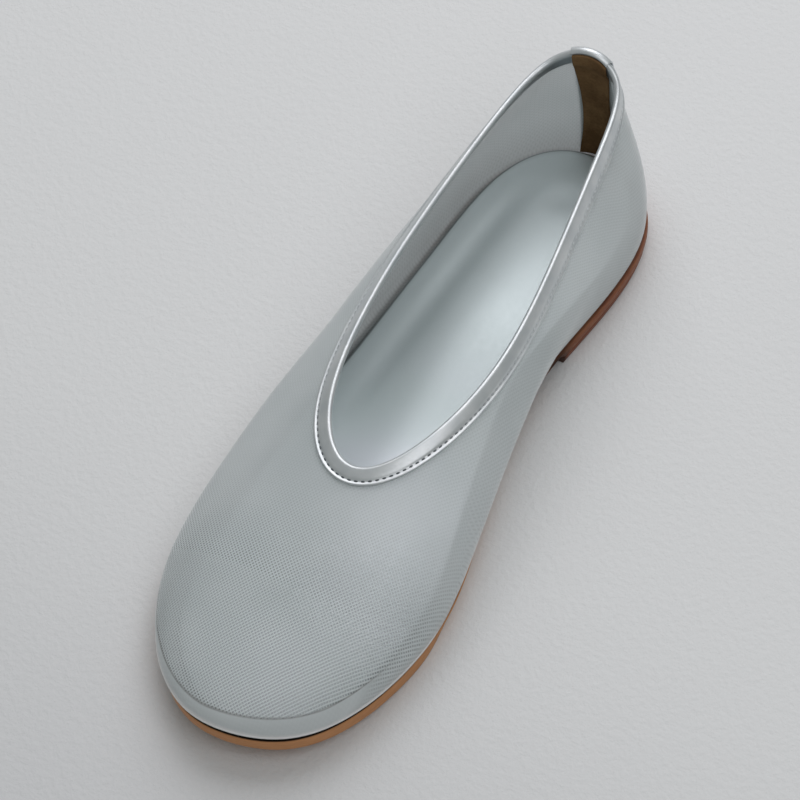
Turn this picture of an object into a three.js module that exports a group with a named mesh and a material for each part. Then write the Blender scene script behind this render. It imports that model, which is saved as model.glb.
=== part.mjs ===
import * as THREE from 'three';

// A right shoe: a sheer mesh slip-on flat with a rounded toe, for a foot about 240 mm long.
// Millimetres. The toe points to -Y, the inner (big toe) side is +X, the floor is Z = 0.

// Outsole and heel
const soleLength = 245;
const ballWidth = 86;
const waistWidth = 61.5;
const seatWidth = 60.5;
const toeSwing = 1.5;          // the toe tip lies this far to the outer side of the middle line
const foreSoleThickness = 4.9;
const seatSoleThickness = 3.4;
const heelLift = 3.8;          // height of the heel block
const heelLength = 74;         // from the back of the sole to the breast
const heelTaper = 1.1;         // the heel's foot lies this far inside its top
const toeSpring = 8.9;
const soleChamfer = 0.5;
const soleLip = 0.8;           // the sole stands out this far past the upper's foot

// Upper
const upperWall = 1.0;
const backHeight = 61.6;       // collar above the floor at the back seam
const throatHeight = 41.6;     // collar above the floor at the throat
const collarLength = 159.4;
const collarWidth = 46.7;
const backLean = 1.1;          // the collar's back lies this far behind the sole
const wallBulge = 6;
const wallLift = 16;
const vampReach = 34.5;
const wallDrop = 16;
const turnInRadius = 1.5;
const turnInWidth = 4.8;       // how far the upper turns in over the outsole

// Insole
const foreInsoleThickness = 2.1;
const seatInsoleThickness = 6.4;
const insoleEdgeRound = 0.9;

// Trim
const clearance = 0.3;
const bindingWall = 0.7;
const bindingFlange = 6.0;
const tabWall = 0.9;
const tabWidth = 13.5;
const stripWall = 0.8;
const stripWidth = 12.8;
const stripWaist = 11.6;

// Sole outline: half widths to each side of the middle line, as shares of the named width.
const soleSections = [
  { along: 0.030, inner: 0.326, outer: 0.311, of: seatWidth },
  { along: 0.120, inner: 0.503, outer: 0.495, of: seatWidth },
  { along: 0.250, inner: 0.467, outer: 0.540, of: waistWidth },
  { along: 0.420, inner: 0.413, outer: 0.612, of: waistWidth },
  { along: 0.580, inner: 0.396, outer: 0.506, of: ballWidth },
  { along: 0.700, inner: 0.471, outer: 0.520, of: ballWidth },
  { along: 0.820, inner: 0.456, outer: 0.500, of: ballWidth },
  { along: 0.920, inner: 0.369, outer: 0.373, of: ballWidth },
  { along: 0.975, inner: 0.240, outer: 0.212, of: ballWidth },
];

// Where the sole's underside leaves the floor, as shares of its length.
const underside = { seatEnd: 0.28, ballStart: 0.59, ballEnd: 0.75 };

// Wall of the upper, twelve sections around the shoe from the back seam by the inner side.
// foot: share of the sole length; along, side, height: the collar as shares of its length,
// its width and its rise from throat to back; bulge, lift, reach, drop: how the wall leaves
// the foot and arrives at the collar, as shares of the named sizes.
const wallSections = [
  { foot: 0.00, along: 0.000, side: 0.000, height: 1.000, bulge: 0.80, lift: 1.05, reach: 0.00, drop: 0.95 },
  { foot: 0.03, along: 0.031, side: 0.250, height: 0.690, bulge: 0.70, lift: 1.03, reach: 0.05, drop: 0.95 },
  { foot: 0.14, along: 0.192, side: 0.371, height: 0.505, bulge: 0.52, lift: 0.97, reach: 0.22, drop: 0.99 },
  { foot: 0.29, along: 0.420, side: 0.475, height: 0.340, bulge: 0.85, lift: 0.88, reach: 0.35, drop: 1.20 },
  { foot: 0.50, along: 0.674, side: 0.535, height: 0.210, bulge: 0.78, lift: 0.80, reach: 0.51, drop: 1.26 },
  { foot: 0.79, along: 0.898, side: 0.386, height: 0.150, bulge: 1.10, lift: 0.81, reach: 0.63, drop: 0.87 },
  { foot: 1.00, along: 1.000, side: 0.035, height: 0.000, bulge: 0.80, lift: 0.87, reach: 1.00, drop: 0.87 },
  { foot: 0.79, along: 0.895, side: -0.323, height: 0.100, bulge: 1.72, lift: 0.78, reach: 0.66, drop: 0.99 },
  { foot: 0.50, along: 0.674, side: -0.465, height: 0.235, bulge: 1.25, lift: 0.92, reach: 0.52, drop: 1.03 },
  { foot: 0.29, along: 0.450, side: -0.465, height: 0.400, bulge: 1.12, lift: 1.02, reach: 0.38, drop: 1.03 },
  { foot: 0.14, along: 0.198, side: -0.394, height: 0.620, bulge: 1.00, lift: 1.05, reach: 0.20, drop: 1.02 },
  { foot: 0.03, along: 0.038, side: -0.275, height: 0.760, bulge: 0.92, lift: 1.06, reach: 0.08, drop: 0.97 },
];

// A smooth closed curve through values at knots that repeat after the given period.
function closedSpline(knots, values, period) {
  const n = knots.length;
  const step = knots.map((k, i) => (i + 1 < n ? knots[i + 1] : knots[0] + period) - k);
  const rows = [];
  for (let i = 0; i < n; i++) {
    const before = (i + n - 1) % n;
    const after = (i + 1) % n;
    const row = new Array(n + 1).fill(0);
    row[before] += step[before];
    row[i] += 2 * (step[before] + step[i]);
    row[after] += step[i];
    row[n] = 6 * ((values[after] - values[i]) / step[i] - (values[i] - values[before]) / step[before]);
    rows.push(row);
  }
  for (let i = 0; i < n; i++) {
    for (let j = 0; j < n; j++) {
      if (j === i) continue;
      const share = rows[j][i] / rows[i][i];
      for (let k = i; k <= n; k++) rows[j][k] -= share * rows[i][k];
    }
  }
  const bend = rows.map((row, i) => row[n] / row[i]);
  return (x) => {
    let t = (x - knots[0]) % period;
    if (t < 0) t += period;
    let i = n - 1;
    while (i > 0 && t < knots[i] - knots[0]) i -= 1;
    const after = (i + 1) % n;
    const h = step[i];
    const a = t - (knots[i] - knots[0]);
    const b = h - a;
    return (bend[i] * b ** 3 + bend[after] * a ** 3) / (6 * h)
      + (values[i] / h - (bend[i] * h) / 6) * b + (values[after] / h - (bend[after] * h) / 6) * a;
  };
}

const turn = 2 * Math.PI;
const angleOf = (share) => Math.acos(1 - 2 * share);

// Outline: signed half width against an angle that runs once around the sole.
const outlineKnots = [0];
const outlineValues = [0];
for (const row of soleSections) {
  outlineKnots.push(angleOf(row.along));
  outlineValues.push(row.inner * row.of);
}
outlineKnots.push(Math.PI);
outlineValues.push(0);
for (const row of [...soleSections].reverse()) {
  outlineKnots.push(turn - angleOf(row.along));
  outlineValues.push(-row.outer * row.of);
}
const halfWidth = closedSpline(outlineKnots, outlineValues, turn);

const sectionCount = wallSections.length;
const sectionKnots = wallSections.map((row, i) => i / sectionCount);
const footAngles = wallSections.map((row, i) => (i <= sectionCount / 2 ? angleOf(row.foot) : turn - angleOf(row.foot)));
const footLag = closedSpline(sectionKnots, footAngles.map((angle, i) => angle - turn * sectionKnots[i]), 1);
const column = (pick) => closedSpline(sectionKnots, wallSections.map(pick), 1);
const collarRise = backHeight - throatHeight;
const collar = {
  along: column((row) => row.along * collarLength - backLean),
  side: column((row) => row.side * collarWidth),
  height: column((row) => throatHeight + row.height * collarRise),
};
const handles = {
  bulge: column((row) => row.bulge * wallBulge),
  lift: column((row) => row.lift * wallLift),
  reach: column((row) => row.reach * vampReach),
  drop: column((row) => row.drop * wallDrop),
};

const ease = (x) => {
  const t = Math.min(Math.max(x, 0), 1);
  return t * t * (3 - 2 * t);
};
const seatUnderside = heelLift + clearance;

// Height of the outsole's underside and top, by distance from the back of the sole.
function undersideHeight(along) {
  const share = along / soleLength;
  const arch = seatUnderside * (1 - ease((share - underside.seatEnd) / (underside.ballStart - underside.seatEnd)));
  const spring = Math.max(share - underside.ballEnd, 0) / (1 - underside.ballEnd);
  return arch + toeSpring * spring * spring;
}
function seatShare(along) {
  return 1 - ease((along / soleLength - underside.seatEnd) / (underside.ballStart - underside.seatEnd));
}
function mix(fore, seat, along) {
  return fore + (seat - fore) * seatShare(along);
}
function soleTop(along) {
  return undersideHeight(along) + mix(foreSoleThickness, seatSoleThickness, along);
}
function insoleTop(along) {
  return soleTop(along) + clearance + mix(foreInsoleThickness, seatInsoleThickness, along);
}

// A point of the sole outline, moved in by an inset; x is to the inner side, y back from the toe.
function outlineAt(angle) {
  const share = (1 - Math.cos(angle)) / 2;
  const swing = -toeSwing * Math.max(share - 0.5, 0) ** 2 * 4;
  return new THREE.Vector3(swing + halfWidth(angle), -share * soleLength, 0);
}
function outlineNormal(angle) {
  const tangent = outlineAt(angle + 0.004).sub(outlineAt(angle - 0.004));
  return new THREE.Vector3(-tangent.y, tangent.x, 0).normalize();
}
function footAngle(u) {
  return turn * u + footLag(u);
}
function outlineInset(u, inset) {
  const angle = footAngle(u);
  return outlineAt(angle).addScaledVector(outlineNormal(angle), -inset);
}

function collarAt(u) {
  return new THREE.Vector3(collar.side(u), -collar.along(u), collar.height(u));
}
function collarNormal(u) {
  const tangent = collarAt(u + 0.002).sub(collarAt(u - 0.002));
  return new THREE.Vector3(-tangent.y, tangent.x, 0).normalize();
}

// The middle of the upper's wall: one curve for each place u around the shoe, read by its
// length down from the collar. Each curve is kept once it has been worked out.
const curves = new Map();
function wallCurve(u) {
  const key = Math.round(u * 1e7);
  if (curves.has(key)) return curves.get(key);
  const foot = outlineInset(u, soleLip);
  foot.z = soleTop(-foot.y) + clearance + upperWall / 2;
  const angle = footAngle(u);
  const top = collarAt(u);
  const low = foot.clone().addScaledVector(outlineNormal(angle), handles.bulge(u));
  low.z += handles.lift(u);
  const high = top.clone().addScaledVector(collarNormal(u), handles.reach(u));
  high.z -= handles.drop(u);
  const bezier = new THREE.CubicBezierCurve3(top, high, low, foot);
  const points = bezier.getPoints(60);
  const lengths = [0];
  for (let i = 1; i < points.length; i++) lengths.push(lengths[i - 1] + points[i].distanceTo(points[i - 1]));
  const curve = { points, lengths, total: lengths[lengths.length - 1] };
  curves.set(key, curve);
  return curve;
}
function wallAt(u, down) {
  const { points, lengths, total } = wallCurve(u);
  if (down >= total) return points[points.length - 1].clone();
  let i = 1;
  while (i < lengths.length - 1 && lengths[i] < down) i += 1;
  const share = (down - lengths[i - 1]) / (lengths[i] - lengths[i - 1]);
  return points[i - 1].clone().lerp(points[i], share);
}
function wallNormal(u, down) {
  const around = wallAt(u + 0.0015, down).sub(wallAt(u - 0.0015, down));
  const along = wallAt(u, down + 0.4).sub(wallAt(u, Math.max(down - 0.4, 0)));
  return along.cross(around).normalize();
}

// Even steps around the shoe, counted along the collar and the foot together.
function stationsAround(count) {
  const fine = 720;
  const measure = [0];
  for (let i = 1; i <= fine; i++) {
    const foot = outlineInset(i / fine, 0).distanceTo(outlineInset((i - 1) / fine, 0));
    const edge = collarAt(i / fine).distanceTo(collarAt((i - 1) / fine));
    measure.push(measure[i - 1] + foot + 1.4 * edge);
  }
  const half = measure[fine / 2];
  const result = [];
  for (let i = 0; i < count; i++) {
    const inner = i <= count / 2;
    const wanted = inner ? (half * i) / (count / 2) : half + ((measure[fine] - half) * (i - count / 2)) / (count / 2);
    let k = 1;
    while (k < fine && measure[k] < wanted) k += 1;
    result.push((k - 1 + (wanted - measure[k - 1]) / (measure[k] - measure[k - 1])) / fine);
  }
  return result;
}
const stations = stationsAround(84);

function meshFrom(name, points, faces, look) {
  const geometry = new THREE.BufferGeometry();
  geometry.setAttribute('position', new THREE.Float32BufferAttribute(points.flatMap((p) => [p.x, p.y, p.z]), 3));
  geometry.setIndex(faces.flat());
  geometry.computeVertexNormals();
  const mesh = new THREE.Mesh(geometry, new THREE.MeshStandardMaterial(look));
  mesh.name = name;
  return mesh;
}

// Turns every face over if the closed surface encloses a negative volume.
function facesOutward(points, faces) {
  let volume = 0;
  for (const [a, b, c] of faces) volume += points[a].dot(points[b].clone().cross(points[c]));
  return volume < 0 ? faces.map(([a, b, c]) => [a, c, b]) : faces;
}

// A solid from rings of points: each ring is closed, and the row of rings is closed too or capped.
// A cap joins a ring's first half to its second half read backwards, as a strip.
function solidFromRings(name, rings, closed, look) {
  const points = rings.flat();
  const size = rings[0].length;
  const faces = [];
  const last = closed ? rings.length : rings.length - 1;
  for (let i = 0; i < last; i++) {
    const next = (i + 1) % rings.length;
    for (let k = 0; k < size; k++) {
      const a = i * size + k;
      const b = i * size + ((k + 1) % size);
      const c = next * size + ((k + 1) % size);
      const d = next * size + k;
      faces.push([a, b, c], [a, c, d]);
    }
  }
  if (!closed) {
    for (const [start, flip] of [[0, true], [(rings.length - 1) * size, false]]) {
      for (let k = 0; k < size / 2 - 1; k++) {
        const a = start + k;
        const b = start + k + 1;
        const c = start + size - 2 - k;
        const d = start + size - 1 - k;
        if (flip) faces.push([a, c, b], [a, d, c]);
        else faces.push([a, b, c], [a, c, d]);
      }
    }
  }
  return meshFrom(name, points, facesOutward(points, faces), look);
}

// A plate from loops stacked from bottom to top. In each loop point 0 is the back and the
// middle point is the front, and the end loops are closed by strips from side to side.
function solidFromLoops(name, loops, look) {
  const points = loops.flat();
  const size = loops[0].length;
  const faces = [];
  for (let i = 0; i + 1 < loops.length; i++) {
    for (let k = 0; k < size; k++) {
      const a = i * size + k;
      const b = i * size + ((k + 1) % size);
      faces.push([a, b, b + size], [a, b + size, a + size]);
    }
  }
  for (const [start, flip] of [[0, true], [(loops.length - 1) * size, false]]) {
    for (let k = 0; k < size / 2; k++) {
      const a = start + k;
      const b = start + k + 1;
      const c = start + ((size - k - 1) % size);
      const d = start + ((size - k) % size);
      const strip = [];
      if (b !== c) strip.push([a, b, c]);
      if (a !== d) strip.push([a, c, d]);
      for (const [p, q, r] of strip) faces.push(flip ? [p, r, q] : [p, q, r]);
    }
  }
  return meshFrom(name, points, facesOutward(points, faces), look);
}

// Thickens a grid of points, rows around the shoe and columns along the wall, to both sides.
function thickenedRings(grid, wall, closed) {
  const rows = grid.length;
  return grid.map((row, i) => {
    const before = grid[closed ? (i + rows - 1) % rows : Math.max(i - 1, 0)];
    const after = grid[closed ? (i + 1) % rows : Math.min(i + 1, rows - 1)];
    const outer = [];
    const inner = [];
    row.forEach((point, k) => {
      const around = after[k].clone().sub(before[k]);
      const along = row[Math.min(k + 1, row.length - 1)].clone().sub(row[Math.max(k - 1, 0)]);
      const normal = along.cross(around).normalize();
      outer.push(point.clone().addScaledVector(normal, wall / 2));
      inner.push(point.clone().addScaledVector(normal, -wall / 2));
    });
    return [...outer, ...inner.reverse()];
  });
}

// Outsole
function soleLoop(inset, height) {
  return stations.map((u) => {
    const point = outlineInset(u, inset);
    point.z = height(-point.y);
    return point;
  });
}
const outsole = solidFromLoops('outsole', [
  soleLoop(soleChamfer, undersideHeight),
  soleLoop(0, (along) => undersideHeight(along) + soleChamfer),
  soleLoop(0, (along) => soleTop(along) - soleChamfer / 2),
  soleLoop(soleChamfer / 2, soleTop),
], { color: 0x9b6441, roughness: 0.55, metalness: 0 });

// Heel: the sole's outline from the back to the breast, closed by a straight breast
function breastStation(side) {
  let low = side > 0 ? 0 : 0.5;
  let high = low + 0.5;
  for (let i = 0; i < 40; i++) {
    const middle = (low + high) / 2;
    const past = -outlineInset(middle, 0).y > heelLength;
    if (past === side > 0) high = middle;
    else low = middle;
  }
  return (low + high) / 2;
}
const breastInner = breastStation(1);
const breastOuter = breastStation(-1);
const heelSteps = 12;
function heelLoop(inset, height) {
  const inner = [];
  const outer = [];
  for (let i = 0; i <= heelSteps; i++) {
    inner.push(outlineInset((breastInner * i) / heelSteps, inset));
    outer.push(outlineInset(1 - ((1 - breastOuter) * i) / heelSteps, inset));
  }
  const middle = inner[heelSteps].clone().lerp(outer[heelSteps], 0.5);
  const loop = [...inner, middle, ...outer.slice(1).reverse()];
  loop.forEach((point) => { point.z = height; });
  return loop;
}
const heel = solidFromLoops('heel', [
  heelLoop(heelTaper + soleChamfer / 2, 0),
  heelLoop(heelTaper, soleChamfer / 2),
  heelLoop(soleChamfer, heelLift),
], { color: 0x69402f, roughness: 0.6, metalness: 0 });

// Insole: sits inside the upper's turned-in edge
const insoleInset = soleLip + turnInWidth + clearance;
const insole = solidFromLoops('insole', [
  soleLoop(insoleInset, (along) => soleTop(along) + clearance),
  soleLoop(insoleInset, (along) => insoleTop(along) - insoleEdgeRound),
  soleLoop(insoleInset + insoleEdgeRound * 0.3, (along) => insoleTop(along) - insoleEdgeRound * 0.3),
  soleLoop(insoleInset + insoleEdgeRound, insoleTop),
], { color: 0xa4a9a8, roughness: 0.35, metalness: 0.6 });

// Upper: the wall from just under the collar's fold to the foot, then turned in over the outsole
const foldRadius = upperWall / 2 + clearance + bindingWall / 2;
const foldDepth = foldRadius + bindingWall / 2;
const flangeEnd = bindingFlange + clearance;
const wallSteps = 10;
const stepShare = (k) => 1 - (1 - k / wallSteps) ** 1.6;   // closer together near the foot
const upperGrid = stations.map((u) => {
  const total = wallCurve(u).total;
  const end = total - turnInRadius;
  const row = [wallAt(u, foldDepth), wallAt(u, (foldDepth + flangeEnd) / 2)];
  for (let k = 0; k <= wallSteps; k++) row.push(wallAt(u, flangeEnd + (end - flangeEnd) * stepShare(k)));
  const last = row[row.length - 1];
  const foot = wallAt(u, total);
  const edge = outlineInset(u, soleLip + turnInRadius);
  edge.z = foot.z;
  for (const share of [0.35, 0.7]) {
    const bend = last.clone().lerp(foot, share);
    row.push(bend.lerp(foot.clone().lerp(edge, share), share));
  }
  row.push(edge);
  const inside = outlineInset(u, soleLip + turnInWidth);
  inside.z = soleTop(-inside.y) + clearance + upperWall / 2;
  edge.z = soleTop(-edge.y) + clearance + upperWall / 2;
  row.push(inside);
  return row;
});
const upper = solidFromRings('upper', thickenedRings(upperGrid, upperWall, true), true,
  { color: 0xa0a8a8, roughness: 0.6, metalness: 0.2, side: THREE.DoubleSide });

// A fold over the collar: down the outside, over the edge and down the inside, at a radius
// from the middle of the wall. Each side ends at its own length below the collar.
function foldRow(at, radius, outerDown, innerDown, steps) {
  const row = [];
  for (const down of outerDown) row.push(at(down.length, down.radius ?? radius));
  const base = at(foldDepth, 0);
  const side = at(foldDepth, 1).sub(base);
  const rise = at(Math.max(foldDepth - 1, 0), 0).sub(base).normalize();
  for (let i = 0; i <= steps; i++) {
    const angle = (Math.PI * i) / steps;
    row.push(base.clone().addScaledVector(side, radius * Math.cos(angle))
      .addScaledVector(rise, radius * Math.sin(angle)));
  }
  for (const down of innerDown) row.push(at(down.length, -(down.radius ?? radius)));
  return row;
}
const flangeStops = [bindingFlange, (bindingFlange + foldDepth) / 2].map((length) => ({ length }));
const bindingGrid = stations.map((u) => foldRow(
  (down, offset) => wallAt(u, down).addScaledVector(wallNormal(u, down), offset),
  foldRadius, flangeStops, [...flangeStops].reverse(), 4,
));
const binding = solidFromRings('topline_binding', thickenedRings(bindingGrid, bindingWall, true), true,
  { color: 0xb4bab8, roughness: 0.3, metalness: 0.7, side: THREE.DoubleSide });

// Place u around the shoe where the wall, at a length below the collar, lies at a given side x.
function stationAtSide(x, down) {
  let low = -0.12;
  let high = 0.12;
  for (let i = 0; i < 40; i++) {
    const middle = (low + high) / 2;
    if (wallAt(middle, down).x < x) low = middle;
    else high = middle;
  }
  return (low + high) / 2;
}
function backPoint(x) {
  return (down, offset) => {
    const u = stationAtSide(x, down);
    return wallAt(u, down).addScaledVector(wallNormal(u, down), offset);
  };
}

// Back tab: up the outside of the back seam, over the binding and just inside the collar
const nearRadius = upperWall / 2 + clearance + tabWall / 2;
const tabRadius = foldRadius + bindingWall / 2 + clearance + tabWall / 2;
const backTotal = wallCurve(0).total;
const tabFoot = backTotal - turnInRadius - upperWall;
const stepEnd = flangeEnd + 3 * bindingWall;
const tabOuter = [
  { length: tabFoot, radius: nearRadius },
  { length: tabFoot * 0.83 + stepEnd * 0.17, radius: nearRadius },
  { length: tabFoot * 0.66 + stepEnd * 0.34, radius: nearRadius },
  { length: tabFoot * 0.48 + stepEnd * 0.52, radius: nearRadius },
  { length: tabFoot * 0.3 + stepEnd * 0.7, radius: nearRadius },
  { length: tabFoot * 0.14 + stepEnd * 0.86, radius: nearRadius },
  { length: stepEnd, radius: nearRadius },
  { length: flangeEnd, radius: tabRadius },
  { length: (flangeEnd + foldDepth) / 2 },
];
const tabColumns = 8;
const tabGrid = [];
for (let i = 0; i <= tabColumns; i++) {
  tabGrid.push(foldRow(backPoint(tabWidth * (i / tabColumns - 0.5)), tabRadius, tabOuter, [], 6));
}
const backTab = solidFromRings('back_tab', thickenedRings(tabGrid, tabWall, false), false,
  { color: 0xb0b6b4, roughness: 0.32, metalness: 0.65, side: THREE.DoubleSide });

// Heel strip: down the inside of the back seam, from the tab's edge to the turned-in foot
const stripFar = foldRadius + bindingWall / 2 + clearance + stripWall / 2;
const stripNear = upperWall / 2 + clearance + stripWall / 2;
const stripFoot = backTotal - turnInRadius - upperWall / 2 - clearance;
const stripTop = foldDepth + clearance;
const stripStops = [
  { length: stripTop, radius: stripFar, width: stripWidth },
  { length: (stripTop + flangeEnd) / 2, radius: stripFar, width: stripWidth },
  { length: flangeEnd, radius: stripFar, width: stripWidth },
  { length: stepEnd, radius: stripNear, width: stripWidth },
];
for (let i = 1; i <= 6; i++) {
  const length = stepEnd + ((stripFoot - stepEnd) * i) / 6;
  const width = stripWidth - (stripWidth - stripWaist) * Math.sin((Math.PI * i) / 6);
  stripStops.push({ length, radius: stripNear, width });
}
const stripColumns = 8;
const stripGrid = [];
for (let i = 0; i <= stripColumns; i++) {
  stripGrid.push(stripStops.map((stop) => (
    backPoint(stop.width * (i / stripColumns - 0.5))(stop.length, -stop.radius)
  )));
}
const heelStrip = solidFromRings('heel_strip', thickenedRings(stripGrid, stripWall, false), false,
  { color: 0x4b3728, roughness: 0.85, metalness: 0, side: THREE.DoubleSide });

// The origin is under the middle of the whole shoe, on the floor.
const shoe = new THREE.Group();
shoe.add(outsole, heel, insole, upper, binding, backTab, heelStrip);
const bounds = new THREE.Box3().setFromObject(shoe);
const middle = bounds.getCenter(new THREE.Vector3());
for (const mesh of shoe.children) mesh.position.set(-middle.x, -middle.y, 0);

export default shoe;
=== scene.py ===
# A right slip-on flat with a sheer mesh upper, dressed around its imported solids.
# Lengths are in millimetres until a point is placed. The toe points to -Y, the inner side is +X.
import math

import bmesh
import bpy
import numpy as np
from mathutils import Matrix, Vector


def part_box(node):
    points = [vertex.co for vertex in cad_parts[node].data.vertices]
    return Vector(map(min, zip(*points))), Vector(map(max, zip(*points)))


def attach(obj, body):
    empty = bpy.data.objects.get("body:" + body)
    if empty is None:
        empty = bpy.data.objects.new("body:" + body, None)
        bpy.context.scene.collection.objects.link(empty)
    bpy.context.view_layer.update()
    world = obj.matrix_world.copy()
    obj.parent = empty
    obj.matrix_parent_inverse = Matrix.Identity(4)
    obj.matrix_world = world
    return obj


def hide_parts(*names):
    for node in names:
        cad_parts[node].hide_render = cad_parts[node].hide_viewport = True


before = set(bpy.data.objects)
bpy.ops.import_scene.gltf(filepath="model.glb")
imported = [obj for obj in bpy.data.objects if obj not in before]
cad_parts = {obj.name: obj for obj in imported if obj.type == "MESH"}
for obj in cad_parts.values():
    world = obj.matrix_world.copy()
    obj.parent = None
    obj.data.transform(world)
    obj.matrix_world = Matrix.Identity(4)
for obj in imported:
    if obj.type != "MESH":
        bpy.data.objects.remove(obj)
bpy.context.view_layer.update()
mm = 0.001
print("frame loaded:", len(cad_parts), "nodes")

# The last: the same sizes and tables as the solids

last = {
    "soleLength": 245, "ballWidth": 86, "waistWidth": 61.5, "seatWidth": 60.5, "toeSwing": 1.5,
    "foreSole": 4.9, "seatSole": 3.4, "heelLift": 3.8, "heelLength": 74, "heelTaper": 1.1,
    "toeSpring": 8.9, "soleLip": 0.8, "wall": 1.0, "backHeight": 61.6, "throatHeight": 41.6,
    "collarLength": 159.4, "collarWidth": 46.7, "backLean": 1.1, "bulge": 6, "lift": 16,
    "reach": 34.5, "drop": 16, "foreInsole": 2.1, "seatInsole": 6.4, "gap": 0.3,
    "seatEnd": 0.28, "ballStart": 0.59, "ballEnd": 0.75,
}
# along, inner, outer, width that they are shares of
soleSections = [
    (0.030, 0.326, 0.311, "seatWidth"),
    (0.120, 0.503, 0.495, "seatWidth"),
    (0.250, 0.467, 0.540, "waistWidth"),
    (0.420, 0.413, 0.612, "waistWidth"),
    (0.580, 0.396, 0.506, "ballWidth"),
    (0.700, 0.471, 0.520, "ballWidth"),
    (0.820, 0.456, 0.500, "ballWidth"),
    (0.920, 0.369, 0.373, "ballWidth"),
    (0.975, 0.240, 0.212, "ballWidth"),
]
# foot, along, side, height, bulge, lift, reach, drop
wallSections = [
    (0.00, 0.000, 0.000, 1.000, 0.80, 1.05, 0.00, 0.95),
    (0.03, 0.031, 0.250, 0.690, 0.70, 1.03, 0.05, 0.95),
    (0.14, 0.192, 0.371, 0.505, 0.52, 0.97, 0.22, 0.99),
    (0.29, 0.420, 0.475, 0.340, 0.85, 0.88, 0.35, 1.20),
    (0.50, 0.674, 0.535, 0.210, 0.78, 0.80, 0.51, 1.26),
    (0.79, 0.898, 0.386, 0.150, 1.10, 0.81, 0.63, 0.87),
    (1.00, 1.000, 0.035, 0.000, 0.80, 0.87, 1.00, 0.87),
    (0.79, 0.895, -0.323, 0.100, 1.72, 0.78, 0.66, 0.99),
    (0.50, 0.674, -0.465, 0.235, 1.25, 0.92, 0.52, 1.03),
    (0.29, 0.450, -0.465, 0.400, 1.12, 1.02, 0.38, 1.03),
    (0.14, 0.198, -0.394, 0.620, 1.00, 1.05, 0.20, 1.02),
    (0.03, 0.038, -0.275, 0.760, 0.92, 1.06, 0.08, 0.97),
]
fullTurn = 2 * math.pi


# A smooth closed curve through values at knots
def closedSpline(knots, values, period):
    knots = np.array(knots, float)
    values = np.array(values, float)
    count = len(knots)
    step = np.append(knots[1:], knots[0] + period) - knots
    matrix = np.zeros((count, count))
    right = np.zeros(count)
    for i in range(count):
        before, after = (i - 1) % count, (i + 1) % count
        matrix[i, before] += step[before]
        matrix[i, i] += 2 * (step[before] + step[i])
        matrix[i, after] += step[i]
        right[i] = 6 * ((values[after] - values[i]) / step[i] - (values[i] - values[before]) / step[before])
    bend = np.linalg.solve(matrix, right)

    def read(x):
        t = (x - knots[0]) % period
        i = int(np.searchsorted(knots - knots[0], t, side="right")) - 1
        after = (i + 1) % count
        h = step[i]
        a = t - (knots[i] - knots[0])
        b = h - a
        return ((bend[i] * b**3 + bend[after] * a**3) / (6 * h)
                + (values[i] / h - bend[i] * h / 6) * b + (values[after] / h - bend[after] * h / 6) * a)

    return read


def ease(x):
    t = min(max(x, 0.0), 1.0)
    return t * t * (3 - 2 * t)


# A soft hump, 1 at x = 0 and nearly 0 two widths away
def bump(x, width):
    return math.exp(-(x / width) ** 2)


def angleOf(share):
    return math.acos(1 - 2 * share)


def makeLast():
    knots, values = [0.0], [0.0]
    for along, inner, outer, of in soleSections:
        knots.append(angleOf(along))
        values.append(inner * last[of])
    knots.append(math.pi)
    values.append(0.0)
    for along, inner, outer, of in reversed(soleSections):
        knots.append(fullTurn - angleOf(along))
        values.append(-outer * last[of])
    curves = {"halfWidth": closedSpline(knots, values, fullTurn)}
    count = len(wallSections)
    places = [i / count for i in range(count)]
    angles = [angleOf(row[0]) if i <= count / 2 else fullTurn - angleOf(row[0])
              for i, row in enumerate(wallSections)]
    curves["footLag"] = closedSpline(places, [a - fullTurn * p for a, p in zip(angles, places)], 1)
    rise = last["backHeight"] - last["throatHeight"]
    columns = {
        "along": lambda row: row[1] * last["collarLength"] - last["backLean"],
        "side": lambda row: row[2] * last["collarWidth"],
        "height": lambda row: last["throatHeight"] + row[3] * rise,
        "bulge": lambda row: row[4] * last["bulge"],
        "lift": lambda row: row[5] * last["lift"],
        "reach": lambda row: row[6] * last["reach"],
        "drop": lambda row: row[7] * last["drop"],
    }
    for name, pick in columns.items():
        curves[name] = closedSpline(places, [pick(row) for row in wallSections], 1)
    return curves


shape = makeLast()


def undersideHeight(along):
    share = along / last["soleLength"]
    fall = ease((share - last["seatEnd"]) / (last["ballStart"] - last["seatEnd"]))
    spring = max(share - last["ballEnd"], 0) / (1 - last["ballEnd"])
    return (last["heelLift"] + last["gap"]) * (1 - fall) + last["toeSpring"] * spring * spring


def mix(fore, seat, along):
    share = along / last["soleLength"]
    fall = ease((share - last["seatEnd"]) / (last["ballStart"] - last["seatEnd"]))
    return fore + (seat - fore) * (1 - fall)


def soleTop(along):
    return undersideHeight(along) + mix(last["foreSole"], last["seatSole"], along)


def insoleTop(along):
    return soleTop(along) + last["gap"] + mix(last["foreInsole"], last["seatInsole"], along)


def outlineAt(angle):
    share = (1 - math.cos(angle)) / 2
    swing = -last["toeSwing"] * max(share - 0.5, 0) ** 2 * 4
    return Vector((swing + shape["halfWidth"](angle), -share * last["soleLength"], 0))


def outlineNormal(angle):
    tangent = outlineAt(angle + 0.004) - outlineAt(angle - 0.004)
    return Vector((-tangent.y, tangent.x, 0)).normalized()


def footAngle(u):
    return fullTurn * u + shape["footLag"](u)


def outlineInset(u, inset):
    angle = footAngle(u)
    return outlineAt(angle) - outlineNormal(angle) * inset


def collarAt(u):
    return Vector((shape["side"](u), -shape["along"](u), shape["height"](u)))


wallCurves = {}


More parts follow.
